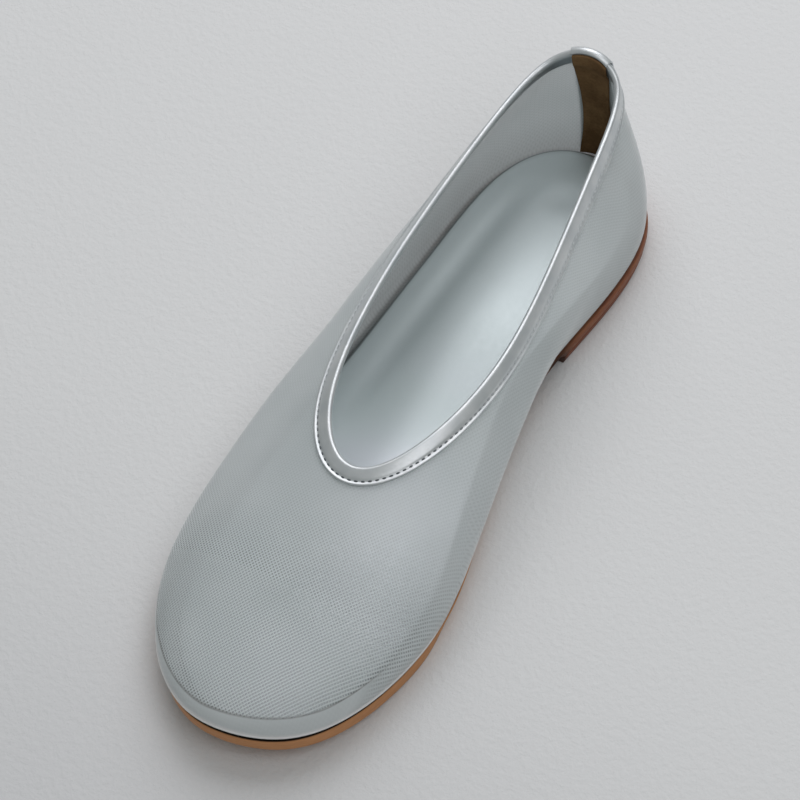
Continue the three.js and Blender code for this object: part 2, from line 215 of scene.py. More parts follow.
# The middle of the upper's wall at a place u around the shoe, from the collar to the foot
def wallCurve(u):
    key = round(u * 1e7)
    if key not in wallCurves:
        foot = outlineInset(u, last["soleLip"])
        foot.z = soleTop(-foot.y) + last["gap"] + last["wall"] / 2
        top = collarAt(u)
        tangent = collarAt(u + 0.002) - collarAt(u - 0.002)
        outward = Vector((-tangent.y, tangent.x, 0)).normalized()
        low = foot + outlineNormal(footAngle(u)) * shape["bulge"](u)
        low.z += shape["lift"](u)
        high = top + outward * shape["reach"](u)
        high.z -= shape["drop"](u)
        t = np.linspace(0, 1, 61)[:, None]
        a, b, c, d = (np.array(p)[None] for p in (top, high, low, foot))
        points = a * (1 - t) ** 3 + 3 * b * t * (1 - t) ** 2 + 3 * c * t * t * (1 - t) + d * t**3
        lengths = np.append(0, np.cumsum(np.linalg.norm(np.diff(points, axis=0), axis=1)))
        wallCurves[key] = (points, lengths)
    return wallCurves[key]


def wallLength(u):
    return float(wallCurve(u)[1][-1])


def wallAt(u, down):
    points, lengths = wallCurve(u)
    return Vector([float(np.interp(down, lengths, points[:, k])) for k in range(3)])


def wallNormal(u, down):
    around = wallAt(u + 0.0015, down) - wallAt(u - 0.0015, down)
    along = wallAt(u, down + 0.4) - wallAt(u, max(down - 0.4, 0))
    return around.cross(along).normalized()


def offWall(u, down, offset):
    return wallAt(u, down) + wallNormal(u, down) * offset


# Even steps around the shoe, counted along the collar and the foot together
def stationsAround(count):
    fine = 720
    feet = [outlineInset(i / fine, 0) for i in range(fine + 1)]
    edges = [collarAt(i / fine) for i in range(fine + 1)]
    steps = [(feet[i] - feet[i - 1]).length + 1.4 * (edges[i] - edges[i - 1]).length for i in range(1, fine + 1)]
    measure = np.append(0, np.cumsum(steps))
    half = measure[fine // 2]
    wanted = [half * 2 * i / count if i <= count / 2
              else half + (measure[fine] - half) * (2 * i / count - 1) for i in range(count)]
    return [float(np.interp(w, measure, np.linspace(0, 1, fine + 1))) for w in wanted]


# Where the shoe's own zero lies in the frame
outlineX = [outlineAt(fullTurn * i / 720).x for i in range(720)]
soleLow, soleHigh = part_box("outsole")
origin = Vector((soleHigh.x / mm - max(outlineX), soleHigh.y / mm, 0))


def placed(point):
    return (point + origin) * mm


# Mesh helpers

# A shell grown ring by ring: place(station, level) gives each point
def growRings(count, levels, place, weld=False):
    shell = bmesh.new()
    station = shell.verts.layers.int.new("station")
    row = shell.verts.layers.int.new("row")
    verts = bmesh.ops.create_circle(shell, segments=count, radius=1)["verts"]
    edges = shell.edges[:]
    for i, vert in enumerate(verts):
        vert[station] = i
    for level in range(levels):
        if level:
            grown = bmesh.ops.extrude_edge_only(shell, edges=edges)["geom"]
            verts = [g for g in grown if isinstance(g, bmesh.types.BMVert)]
            fresh = set(verts)
            edges = [g for g in grown if isinstance(g, bmesh.types.BMEdge)
                     and g.verts[0] in fresh and g.verts[1] in fresh]
        for vert in verts:
            vert[row] = level
            vert.co = placed(place(vert[station], level))
    if weld:
        bmesh.ops.remove_doubles(shell, verts=shell.verts[:], dist=1e-6)
    return shell


# Closes a ring by strips from side to side, cut into squares that follow a height
def capRing(shell, count, level, cuts, height=None):
    station = shell.verts.layers.int["station"]
    row = shell.verts.layers.int["row"]
    ring = sorted((v for v in shell.verts if v[row] == level), key=lambda v: v[station])
    shell.faces.new(ring)
    rungs = []
    for k in range(1, count // 2):
        made = bmesh.ops.connect_verts(shell, verts=[ring[k], ring[count - k]])["edges"]
        rungs += made
    if cuts:
        inner = bmesh.ops.subdivide_edges(shell, edges=rungs, cuts=cuts, use_grid_fill=True)["geom_inner"]
        if height:
            for vert in [g for g in inner if isinstance(g, bmesh.types.BMVert)]:
                point = vert.co / mm - origin
                point.z = height(point)
                vert.co = placed(point)


# Turns a bmesh into a piece that stands for a node
def finished(shell, name, node, material, smooth=True, outward=True):
    if outward:
        bmesh.ops.recalc_face_normals(shell, faces=shell.faces[:])
    data = bpy.data.meshes.new(name)
    shell.to_mesh(data)
    shell.free()
    for polygon in data.polygons:
        polygon.use_smooth = smooth
    piece = bpy.data.objects.new(name, data)
    bpy.context.scene.collection.objects.link(piece)
    data.materials.append(material)
    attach(piece, "root")
    if node:
        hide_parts(node)
    return piece


# Material helpers

def addNode(tree, kind, inputs=None, **settings):
    node = tree.nodes.new(kind)
    for key, value in settings.items():
        setattr(node, key, value)
    for socket, value in (inputs or {}).items():
        if isinstance(value, bpy.types.NodeSocket):
            tree.links.new(value, node.inputs[socket])
        else:
            node.inputs[socket].default_value = value
    return node


def math2(tree, operation, a, b=0.0, c=0.0):
    return addNode(tree, "ShaderNodeMath", {0: a, 1: b, 2: c}, operation=operation).outputs[0]


def between(tree, value, low, high, toLow=0.0, toHigh=1.0, kind="SMOOTHSTEP"):
    return addNode(tree, "ShaderNodeMapRange", {"Value": value, "From Min": low, "From Max": high,
                   "To Min": toLow, "To Max": toHigh}, interpolation_type=kind).outputs["Result"]


def noise(tree, scale, detail=3.0, roughness=0.5, vector=None):
    where = vector or addNode(tree, "ShaderNodeTexCoord").outputs["Object"]
    return addNode(tree, "ShaderNodeTexNoise", {"Vector": where, "Scale": scale, "Detail": detail,
                   "Roughness": roughness}).outputs["Fac"]


def mixColour(tree, factor, a, b):
    node = addNode(tree, "ShaderNodeMix", {"Factor": factor}, data_type="RGBA")
    for socket, value in ((6, a), (7, b)):
        if isinstance(value, bpy.types.NodeSocket):
            tree.links.new(value, node.inputs[socket])
        else:
            node.inputs[socket].default_value = (*value, 1)
    return node.outputs[2]


def newMaterial(name, **sockets):
    material = bpy.data.materials.new(name)
    material.use_nodes = True
    tree = material.node_tree
    shader = tree.nodes["Principled BSDF"]
    for socket, value in sockets.items():
        shader.inputs[socket.replace("_", " ")].default_value = value
    return material, tree, shader


def bumpTo(tree, shader, height, distance, strength=1.0):
    made = addNode(tree, "ShaderNodeBump", {"Height": height, "Distance": distance, "Strength": strength})
    tree.links.new(made.outputs["Normal"], shader.inputs["Normal"])


# Mesh cloth

cloth = {
    "pitch": (0.96, 0.98), "heading": (47.5, -38.5),   # mm and degrees from the inner side
    "width": (0.40, 0.50), "soft": (0.75, 0.45),       # share of the pitch, and how soft its edges are
    "open": 0.12, "full": 0.88, "even": 0.68,          # density of the holes, of the threads and of both
    "thread": (0.70, 0.74, 0.745), "shade": (0.58, 0.625, 0.63),
    "roughness": 0.6, "sheen": 0.7, "through": 0.5,
}


def meshCloth():
    material, tree, shader = newMaterial("meshCloth", Roughness=cloth["roughness"], Sheen_Weight=cloth["sheen"],
                                         Sheen_Roughness=0.32, Subsurface_Weight=cloth["through"],
                                         Subsurface_Radius=(1, 1, 1), Subsurface_Scale=0.0015)
    weave = addNode(tree, "ShaderNodeUVMap", uv_map="weave").outputs["UV"]
    wander = noise(tree, 60.0, 2.0)
    phases = []
    for pitch, heading in zip(cloth["pitch"], cloth["heading"]):
        turn = math.radians(heading)
        wave = (math.cos(turn) / pitch, math.sin(turn) / pitch, 0)
        along = addNode(tree, "ShaderNodeVectorMath", {0: weave, 1: wave}, operation="DOT_PRODUCT").outputs["Value"]
        phases.append(math2(tree, "MULTIPLY_ADD", wander, 0.5, along))
    threads = []
    for phase, width, soft in zip(phases, cloth["width"], cloth["soft"]):
        edge = math.cos(math.pi * width)
        wave = math2(tree, "COSINE", math2(tree, "MULTIPLY", phase, fullTurn))
        threads.append(between(tree, wave, edge - soft, edge + soft))
    over = [math2(tree, "COSINE", math2(tree, "MULTIPLY", phase, math.pi)) for phase in phases]
    crossing = math2(tree, "MULTIPLY", over[0], over[1])
    cover = math2(tree, "MAXIMUM", threads[0], threads[1])
    solid = addNode(tree, "ShaderNodeAttribute", attribute_name="solid").outputs["Fac"]
    stretch = addNode(tree, "ShaderNodeAttribute", attribute_name="stretch").outputs["Fac"]
    rise = addNode(tree, "ShaderNodeAttribute", attribute_name="rise").outputs["Fac"]
    stiffAndShadeLine = addNode(tree, "ShaderNodeAttribute", attribute_name="stiffAndShadeLine").outputs["Fac"]
    band = math2(tree, "MULTIPLY", between(tree, rise, -0.5, 0.3, 1.0, 0.0), stiffAndShadeLine)
    # painted shade: a dark line along the band's top, standing for the shadowed edge of the insole seen through the
    # cloth
    shadeLine = math2(tree, "MULTIPLY", between(tree, math2(tree, "ABSOLUTE", rise), 0.1, 0.75, 0.55, 0.0), stiffAndShadeLine)
    stretch = math2(tree, "MULTIPLY", stretch, math2(tree, "MULTIPLY_ADD", band, -0.8, 1.0))
    solid = math2(tree, "MAXIMUM", solid, math2(tree, "MULTIPLY", band, 0.84))
    pattern = math2(tree, "MULTIPLY_ADD", cover, cloth["full"] - cloth["open"], cloth["open"] - cloth["even"])
    alpha = math2(tree, "MULTIPLY_ADD", pattern, stretch, cloth["even"])
    tree.links.new(math2(tree, "MAXIMUM", alpha, solid), shader.inputs["Alpha"])
    # the crossings where a thread passes over are painted a little lighter, a painted highlight; the rest of the
    # tone varies at random
    tone = math2(tree, "MULTIPLY_ADD", crossing, 0.06, noise(tree, 25.0, 2.0))
    colour = mixColour(tree, between(tree, tone, 0.2, 0.8), cloth["shade"], cloth["thread"])
    colour = mixColour(tree, shadeLine, colour, (0.22, 0.205, 0.19))
    # painted highlight: a near-white line along the top of the rolled edge over the toe's sole, where it catches
    # the light
    lipHighlight = addNode(tree, "ShaderNodeAttribute", attribute_name="lipHighlight").outputs["Fac"]
    tuckShade = addNode(tree, "ShaderNodeAttribute", attribute_name="tuckShade").outputs["Fac"]
    edged = mixColour(tree, lipHighlight, colour, (0.95, 0.92, 0.91))
    # painted shade: near black in the crevice under the toe's rolled edge, darker on the turned-in margin and
    # toward the foot of the sides
    tree.links.new(mixColour(tree, tuckShade, edged, (0.020, 0.011, 0.008)), shader.inputs["Base Color"])
    height = math2(tree, "MULTIPLY_ADD", crossing, 0.25, cover)
    bumpTo(tree, shader, math2(tree, "MULTIPLY", height, stretch), 0.0001, 0.3)
    return material


upper = {
    "stations": 336, "rows": 60, "wall": 0.28, "firstRow": 2.2, "turnRadius": 1.7, "turnIn": 4.75,
    "bead": 0.60, "beadAt": 2.1, "beadWide": 0.55,      # the rolled edge over the toe's sole
    "footDrop": 0.12, "footDropOver": 9,
}
# The stiffened band around the toes, with a painted shade line along its top where the insole's edge shows through:
# place u and height above the foot
bandPlaces = (0.4225, 0.4375, 0.46, 0.485, 0.505, 0.5325, 0.56, 0.60)
bandHeights = (20.0, 14.0, 10.5, 8.5, 7.2, 7.4, 8.0, 9.0)
# Soft troughs and ridges: place u and share of the wall's height at each end, width mm, depth mm
creases = [
    ((0.30, 0.55), (0.38, 0.80), 5.0, -0.35),
    ((0.62, 0.35), (0.70, 0.65), 7.0, -0.40),
    ((0.22, 0.45), (0.30, 0.62), 6.0, 0.25),
]


def creaseLift(u, share):
    lift = 0.0
    for (u0, s0), (u1, s1), width, depth in creases:
        ax, ay = (u - u0) * 560, (share - s0) * 50
        bx, by = (u1 - u0) * 560, (s1 - s0) * 50
        run = math.hypot(bx, by)
        along = (ax * bx + ay * by) / run
        across = (ax * by - ay * bx) / run
        past = max(-along, along - run, 0)
        lift += depth * bump(across, width) * bump(past, width * 1.5)
    return lift


# 1 around the toes, 0 behind the ball
def toeShare(u):
    return ease((-outlineAt(footAngle(u)).y - 160) / 30)


def meshPoint(u, down, offset=0.0):
    total = wallLength(u)
    share = down / total
    fade = ease(share * 6) * ease((1 - share) * 8)
    bead = upper["bead"] * bump(total - down - upper["beadAt"], upper["beadWide"]) * toeShare(u)
    point = offWall(u, down, offset + creaseLift(u, share) * fade + bead)
    point.z -= upper["footDrop"] * ease((down - total + upper["footDropOver"]) / upper["footDropOver"])
    return point


# The cloth laid flat, in millimetres: seen from above over the toes, unrolled along the sides
def clothPlan(stations, columns):
    count = len(stations)
    plan = {}
    for side in (1, -1):
        order = [i for i in range(count) if (stations[i] <= 0.5) == (side > 0)]
        order = order[::-1] if side > 0 else order + [count]
        before = collarAt(0.5)
        at = before.xy
        for i in order:
            u = stations[i] if i < count else 1.0
            outward = outlineNormal(footAngle(u))
            heading = math.atan2(side * outward.x, -outward.y) % fullTurn
            held = min(heading, math.radians(92)) if heading < 1.5 * math.pi else heading
            back = Matrix.Rotation(side * (held - heading), 2)
            way = Vector((side * math.sin(held), -math.cos(held)))
            step = collarAt(u) - before
            before = collarAt(u)
            if step.length:
                at = at + back @ step.xy * (step.length / max(step.xy.length, 1e-6))
            spots, last3 = [], before
            here = at.copy()
            for point in columns[i % count][0]:
                move = point - last3
                flat = move.xy
                here = here + back @ flat + way * (move.length - flat.length)
                last3 = point
                spots.append(here.copy())
            plan[i] = spots
    return plan


def makeUpper():
    count, rows = upper["stations"], upper["rows"]
    stations = stationsAround(count)
    turn = upper["turnRadius"]
    columns = []
    for u in stations:
        end = wallLength(u) - turn
        start = upper["firstRow"]
        downs = [start + (end - start) * (1 - (1 - k / rows) ** 1.6) for k in range(rows + 1)]
        points = [meshPoint(u, down) for down in downs]
        foot = wallAt(u, wallLength(u))
        foot.z -= upper["footDrop"]
        before = points[-1]
        edge = outlineInset(u, last["soleLip"] + turn)
        edge.z = foot.z
        for share in (0.25, 0.5, 0.75):
            points.append(before.lerp(foot, share).lerp(foot.lerp(edge, share), share))
            downs.append(end + share * turn)
        points.append(edge)
        downs.append(end + 1.3 * turn)
        for share in (0.5, 1.0):
            inside = outlineInset(u, last["soleLip"] + turn + (upper["turnIn"] - turn) * share)
            inside.z = soleTop(-inside.y) + last["gap"] + upper["wall"] / 2
            points.append(inside)
            downs.append(end + 1.3 * turn + (upper["turnIn"] - turn) * share)
        columns.append((points, downs))
    levels = len(columns[0][0])
    shell = growRings(count, levels, lambda i, level: columns[i][0][level])
    plan = clothPlan(stations, columns)
    station = shell.verts.layers.int["station"]
    row = shell.verts.layers.int["row"]
    solid = shell.verts.layers.float.new("solid")
    stretch = shell.verts.layers.float.new("stretch")
    lipHighlight = shell.verts.layers.float.new("lipHighlight")
    tuckShade = shell.verts.layers.float.new("tuckShade")
    stiffAndShadeLine = shell.verts.layers.float.new("stiffAndShadeLine")
    rise = shell.verts.layers.float.new("rise")
    weave = shell.loops.layers.uv.new("weave")
    for vert in shell.verts:
        downs = columns[vert[station]][1]
        u = stations[vert[station]]
        toe = toeShare(u)
        past = downs[vert[row]] - downs[rows]
        vert[solid] = toe * ease((past + 1.6) / 0.8)
        # painted highlight along the top of the toe's rolled edge
        vert[lipHighlight] = toe * bump(past + 0.78, 0.42)
        # painted shade: the turned-in margin, the lower sides near the foot and the crevice under the toe's rolled
        # edge
        if vert[row] > rows + 3:
            vert[tuckShade] = 0.65 * (1 - toe)
        elif toe == 0:
            vert[tuckShade] = 0.10 * ease((past + 16) / 16) + 0.25 * ease((past + 0.3) / 1.2)
        else:
            vert[tuckShade] = toe * ease((past + 0.42) / 0.35)
        # mask of the toe band, which also carries the painted shade line along its top
        vert[stiffAndShadeLine] = ease((u - 0.425) / 0.025) * ease((0.59 - u) / 0.03)
        vert[rise] = turn - past - float(np.interp(u, bandPlaces, bandHeights))
        along = origin.y - vert.co.y / mm
        vert[stretch] = (0.10 + 0.90 * ease((along - 160) / 52)) * (1 - 0.6 * toe * ease((past + 8) / 3))
    for face in shell.faces:
        numbers = [loop.vert[station] for loop in face.loops]
        wraps = max(numbers) - min(numbers) > count / 2
        for loop, number in zip(face.loops, numbers):
            loop[weave].uv = plan[count if wraps and number == 0 else number][loop.vert[row]]
    piece = finished(shell, "mesh_upper", "upper", meshCloth())
    solidify = piece.modifiers.new("wall", "SOLIDIFY")
    solidify.thickness = upper["wall"] * mm
    solidify.offset = 0
    solidify.use_even_offset = True
    return piece


makeUpper()
print("upper made")

# Silver leather: binding and tab

# the inside colour is a painted shade for the binding's inner face
leather = {"colour": (0.69, 0.71, 0.715), "shade": (0.59, 0.62, 0.635), "metal": 0.7, "roughness": 0.38,
           "inside": (0.30, 0.33, 0.35)}


def silverLeather(name, roughness=leather["roughness"]):
    material, tree, shader = newMaterial(name, Metallic=leather["metal"], Roughness=roughness, Coat_Weight=0.08,
                                         Coat_Roughness=0.25)
    grain = noise(tree, 1400.0, 3.0, 0.6)
    mottle = noise(tree, 120.0, 2.0)
    colour = mixColour(tree, between(tree, mottle, 0.3, 0.7), leather["shade"], leather["colour"])
    insideShade = addNode(tree, "ShaderNodeAttribute", attribute_name="insideShade").outputs["Fac"]
    # painted shade: the binding's inner face is darkened
    tree.links.new(mixColour(tree, insideShade, colour, leather["inside"]), shader.inputs["Base Color"])
    tree.links.new(between(tree, grain, 0.25, 0.75, roughness - 0.06, roughness + 0.08, "LINEAR"),
                   shader.inputs["Roughness"])
    bumpTo(tree, shader, grain, 0.00006, 0.5)
    return material


binding = {
    "stations": 460, "width": 6.1, "radius": 1.05, "steps": 9, "thick": 0.78,
    "groove": 4.78, "stitchPitch": 2.2, "stitchLong": 1.3, "stitchWide": 0.5,
}


# The folded strip's section: (down, offset) around it, outer face first
def bindingSection():
    r = binding["radius"]
    t = binding["thick"]
    w = binding["width"]
    g = binding["groove"]
    outer = [(w - 0.05, 0.20), (w + 0.04, 0.45), (w + 0.04, 0.80), (w - 0.06, 1.04), (w - 0.22, 1.18),
             (w - 0.42, 1.20), (w - 0.62, 1.10), (g + 0.45, 0.94), (g + 0.2, 0.82), (g - 0.1, 0.80),
             (g - 0.35, 0.85), (g - 0.65, 0.98), (g - 1.1, 1.05), (g - 1.8, 1.07), (g - 2.7, 1.05)]
    fold = []
    for i in range(binding["steps"] + 1):
        angle = math.pi * i / binding["steps"]
        fold.append((r - r * math.sin(angle), r * math.cos(angle)))
    inner = [(2.2, -1.08), (3.2, -1.08), (4.4, -1.02), (w - 0.7, -0.94), (w - 0.25, -0.78), (w - 0.1, -0.5),
             (w - 0.2, -0.26)]
    back = [(4.4, -0.24), (2.4, -0.24), (r + 0.1, -(r - t)), (r - 0.6 * (r - t), 0.0), (r + 0.1, r - t),
            (2.4, 0.24), (4.6, 0.24)]
    return outer + fold + inner + back


def makeBinding(material):
    section = bindingSection()
    count = binding["stations"]
    stations = stationsAround(count)

    def place(station, level):
        down, offset = section[level % len(section)]
        u = stations[station]
        return offWall(u, down, offset)

    shell = growRings(count, len(section) + 1, place, weld=True)
    row = shell.verts.layers.int["row"]
    insideShade = shell.verts.layers.float.new("insideShade")
    # painted shade on the inner flange, beyond 1 mm past the fold
    for vert in shell.verts:
        vert[insideShade] = ease((section[vert[row] % len(section)][0] - 1.0) / 0.8) if section[
            vert[row] % len(section)][1] < -0.1 else 0.0
    return finished(shell, "binding", "topline_binding", material)


silver = silverLeather("silverLeather")
makeBinding(silver)
print("binding made")


# One row of small stitches in the binding's groove, all in one piece
def makeStitches():
    fine = 2400
    points = [offWall(i / fine, binding["groove"], 0) for i in range(fine + 1)]
    measure = np.append(0, np.cumsum([(points[i + 1] - points[i]).length for i in range(fine)]))
    total = measure[-1]
    number = int(total / binding["stitchPitch"])
    shell = bmesh.new()
    pale = shell.verts.layers.float.new("pale")
    for k in range(number):
        middle = total * (k + 0.5) / number
        u = float(np.interp(middle, measure, np.linspace(0, 1, fine + 1)))
        if u < 0.016 or u > 0.984:     # under the tab
            continue
        u1 = float(np.interp(middle + 0.3, measure, np.linspace(0, 1, fine + 1)))
        centre = offWall(u, binding["groove"], 0.90)
        ahead = (offWall(u1, binding["groove"], 0.90) - centre).normalized()
        normal = wallNormal(u, binding["groove"])
        side = normal.cross(ahead).normalized()
        verts = bmesh.ops.create_uvsphere(shell, u_segments=8, v_segments=6, radius=1)["verts"]
        for vert in verts:
            long = vert.co.z
            squared = math.copysign(abs(long) ** 0.7, long)
            point = (centre + ahead * squared * binding["stitchLong"] / 2
                     + side * vert.co.x * binding["stitchWide"] / 2
                     + normal * vert.co.y * 0.16 - normal * 0.10 * long * long)
            vert.co = placed(point)
            # the thread is near black on the inner side and the throat, partly its own dark colour and partly
            # painted shade in the stitch holes, and pale on the outer side
            vert[pale] = ease((0.5 - u - 0.06) / 0.16) if u < 0.5 else ease((u - 0.5 - 0.04) / 0.09)
    material, tree, shader = newMaterial("stitchThread", Roughness=0.6)
    light = addNode(tree, "ShaderNodeAttribute", attribute_name="pale").outputs["Fac"]
    tree.links.new(mixColour(tree, light, (0.075, 0.09, 0.10), (0.62, 0.65, 0.66)), shader.inputs["Base Color"])
    bumpTo(tree, shader, noise(tree, 2500.0), 0.00005)
    return finished(shell, "binding_stitches", None, material)


makeStitches()
print("stitches made")

# Back tab and heel strip

tab = {"width": 13.5, "wall": 0.6, "columns": 24, "radius": 1.5, "turn": 150}
strip = {"width": 12.8, "waist": 10.3, "wall": 0.8, "columns": 16, "rows": 40, "radius": 1.5, "near": 0.75}


def stationAtSide(x, down):
    low, high = -0.12, 0.12
    for _ in range(26):
        middle = (low + high) / 2
        if wallAt(middle, down).x < x:
            low = middle
        else:
            high = middle
    return (low + high) / 2


def backPoint(x, down, offset):
    return offWall(stationAtSide(x, down), down, offset)


# A sheet of points from a grid: place(across, along) with both from 0 to 1
def plate(columns, rows, place):
    shell = bmesh.new()
    bmesh.ops.create_grid(shell, x_segments=columns, y_segments=rows, size=1)
    for vert in shell.verts:
        vert.co = placed(place((vert.co.x + 1) / 2, (vert.co.y + 1) / 2))
    return shell


def makeTab(material):
    foot = wallLength(0) - 2.6
    r = tab["radius"]
    stops = []
    for k in range(20):
        down = foot + (9.5 - foot) * k / 19
        stops.append((down, 0.62))
    stops += [(8.4, 0.66), (7.6, 0.90), (6.9, 1.35), (6.2, 1.62), (5.2, 1.62), (4.0, 1.60), (2.6, 1.60)]
    for i in range(13):
        angle = math.radians(tab["turn"]) * i / 12
        stops.append((binding["radius"] - r * math.sin(angle), r * math.cos(angle)))

    def place(across, along):
        k = along * (len(stops) - 1)
        i = min(int(k), len(stops) - 2)
        down = stops[i][0] + (stops[i + 1][0] - stops[i][0]) * (k - i)
        offset = stops[i][1] + (stops[i + 1][1] - stops[i][1]) * (k - i)
        x = tab["width"] * (across - 0.5)
        base = max(down, binding["radius"])
        u = stationAtSide(x, base)
        if down >= binding["radius"]:
            return offWall(u, down, offset)
        centre = wallAt(u, binding["radius"])
        rise = (wallAt(u, 0.02) - centre).normalized()
        return centre + wallNormal(u, binding["radius"]) * offset + rise * (binding["radius"] - down)

    shell = plate(tab["columns"], len(stops) - 1, place)
    piece = finished(shell, "back_tab_leather", "back_tab", material, outward=False)
    wall = piece.modifiers.new("wall", "SOLIDIFY")
    wall.thickness = tab["wall"] * mm
    wall.offset = 0
    edge = piece.modifiers.new("edge", "BEVEL")
    edge.width = 0.28 * mm
    edge.segments = 2
    edge.limit_method = "ANGLE"
    edge.angle_limit = math.radians(50)
    return piece


makeTab(silver)


def brownNap():
    material, tree, shader = newMaterial("brownNap", Roughness=0.95, Specular_IOR_Level=0.12)
    nap = noise(tree, 900.0, 4.0, 0.6)
    streak = noise(tree, 90.0, 2.0)
    colour = mixColour(tree, between(tree, math2(tree, "MULTIPLY_ADD", nap, 0.4, streak), 0.5, 0.9),
                       (0.130, 0.070, 0.030), (0.235, 0.138, 0.064))
    tree.links.new(colour, shader.inputs["Base Color"])
    bumpTo(tree, shader, nap, 0.00012, 0.6)
    return material


def makeStrip():
    foot = wallLength(0) - 1.6
    top = 0.9

    def place(across, along):
        down = top + (foot - top) * along
        share = max((down - 8) / (foot - 8), 0)
        width = strip["width"] - (strip["width"] - strip["waist"]) * math.sin(math.pi * share)
        near = ease((down - 5.8) / 2.4)
        offset = strip["radius"] + (strip["near"] - strip["radius"]) * near
        return backPoint(width * (across - 0.5), down, -offset)

    shell = plate(strip["columns"], strip["rows"], place)
    piece = finished(shell, "heel_strip_leather", "heel_strip", brownNap(), outward=False)
    wall = piece.modifiers.new("wall", "SOLIDIFY")
    wall.thickness = strip["wall"] * mm
    wall.offset = 0
    edge = piece.modifiers.new("edge", "BEVEL")
    edge.width = 0.22 * mm
    edge.segments = 2
    edge.limit_method = "ANGLE"
    edge.angle_limit = math.radians(50)
    return piece


makeStrip()
print("tab and strip made")

# Insole

insole = {"stations": 240, "inset": 5.9, "swell": 1.5, "cuts": 24, "edge": 1.1}


def insoleHeight(point):
    along = -point.y
    u = insoleSide(point)
    top = insoleTop(along)
    share = along / last["soleLength"]
    cup = -0.7 * bump(point.x - 0.5, 14) * bump(along - 30, 26)
    dimple = -0.45 * bump(point.x, 5.5) * bump(along - 24, 5)
    trough = -0.95 * bump(u - 9.5, 4.2) * ease((share - 0.06) / 0.12) * ease((0.56 - share) / 0.18)
    arch = 1.5 * bump(point.x - 22, 8) * bump(along - 95, 36)
    crown = 0.9 * bump(point.x + 1, 13) * bump(along - 80, 58)
    curl = 1.6 * bump(point.x + 32, 10) * bump(along - 138, 14)
    return top + cup + dimple + trough + arch + crown + curl


# Distance in from the insole's outer edge at the same distance along the shoe
def insoleSide(point):
    share = min(max(-point.y / last["soleLength"], 0.001), 0.999)
    edge = outlineAt(fullTurn - angleOf(share)).x + insole["inset"]
    return point.x - edge


def insoleLeather():
    material, tree, shader = newMaterial("insoleLeather", Metallic=0.6, Roughness=0.46, Coat_Weight=0.05,
                                         Coat_Roughness=0.3)
    grain = noise(tree, 700.0, 3.0, 0.55)
    cloud = noise(tree, 18.0, 2.0)
    colour = mixColour(tree, between(tree, cloud, 0.3, 0.7), (0.66, 0.745, 0.74), (0.78, 0.81, 0.86))
    where = addNode(tree, "ShaderNodeTexCoord").outputs["Object"]
    apart = addNode(tree, "ShaderNodeSeparateXYZ", {0: where}).outputs
    # painted shade: the insole darkens toward the heel, where the heel cup's walls would shade it
    heelShaded = mixColour(tree, between(tree, apart["Y"], -0.025, 0.040), colour, (0.54, 0.60, 0.605))
    # painted shade: a dark band on the pad's side and rounded edge, for the shadow in the gap against the upper's
    # wall
    rimShade = addNode(tree, "ShaderNodeAttribute", attribute_name="rimShade").outputs["Fac"]
    tree.links.new(mixColour(tree, rimShade, heelShaded, (0.20, 0.23, 0.23)), shader.inputs["Base Color"])
    tree.links.new(between(tree, grain, 0.2, 0.8, 0.41, 0.49, "LINEAR"), shader.inputs["Roughness"])
    bumpTo(tree, shader, grain, 0.00004, 0.4)
    return material


def makeInsole():
    count = insole["stations"]
    stations = stationsAround(count)
    e = insole["edge"]
    rings = [(0.3, 0.0, "low"), (0.0, 0.4, "low")]
    # painted shade on the pad's side and rounded edge, ring by ring
    rimShadeRows = [0, 0, 0.1, 0.4, 0.9, 1.0, 1.0, 0.6, 0.15, 0, 0, 0]
    for i in range(7):
        angle = math.pi / 2 * i / 6
        rings.append((e * (1 - math.cos(angle)), -e * (1 - math.sin(angle)), "top"))
    rings += [(e + 1.2, 0.0, "top"), (e + 3.0, 0.0, "top"), (e + 5.5, 0.0, "top")]

    def place(station, level):
        inset, rise, kind = rings[level]
        u = stations[station]
        if kind == "top":     # the pad swells out over its foot from the waist back
            inset -= insole["swell"] * (1 - ease((-outlineAt(footAngle(u)).y - 110) / 45))
        point = outlineInset(u, insole["inset"] + inset)
        if kind == "low":
            point.z = soleTop(-point.y) + last["gap"] + rise
        else:
            point.z = insoleHeight(point) + rise
        return point

    shell = growRings(count, len(rings), place)
    row = shell.verts.layers.int["row"]
    rimShade = shell.verts.layers.float.new("rimShade")
    for vert in shell.verts:
        vert[rimShade] = rimShadeRows[vert[row]]
    capRing(shell, count, 0, 0)
    capRing(shell, count, len(rings) - 1, insole["cuts"], insoleHeight)
    piece = finished(shell, "insole_pad", "insole", insoleLeather())
    return piece


makeInsole()
print("insole made")

# Outsole and heel

sole = {"stations": 300, "edge": 0.45, "cuts": 8, "trim": 3.6}


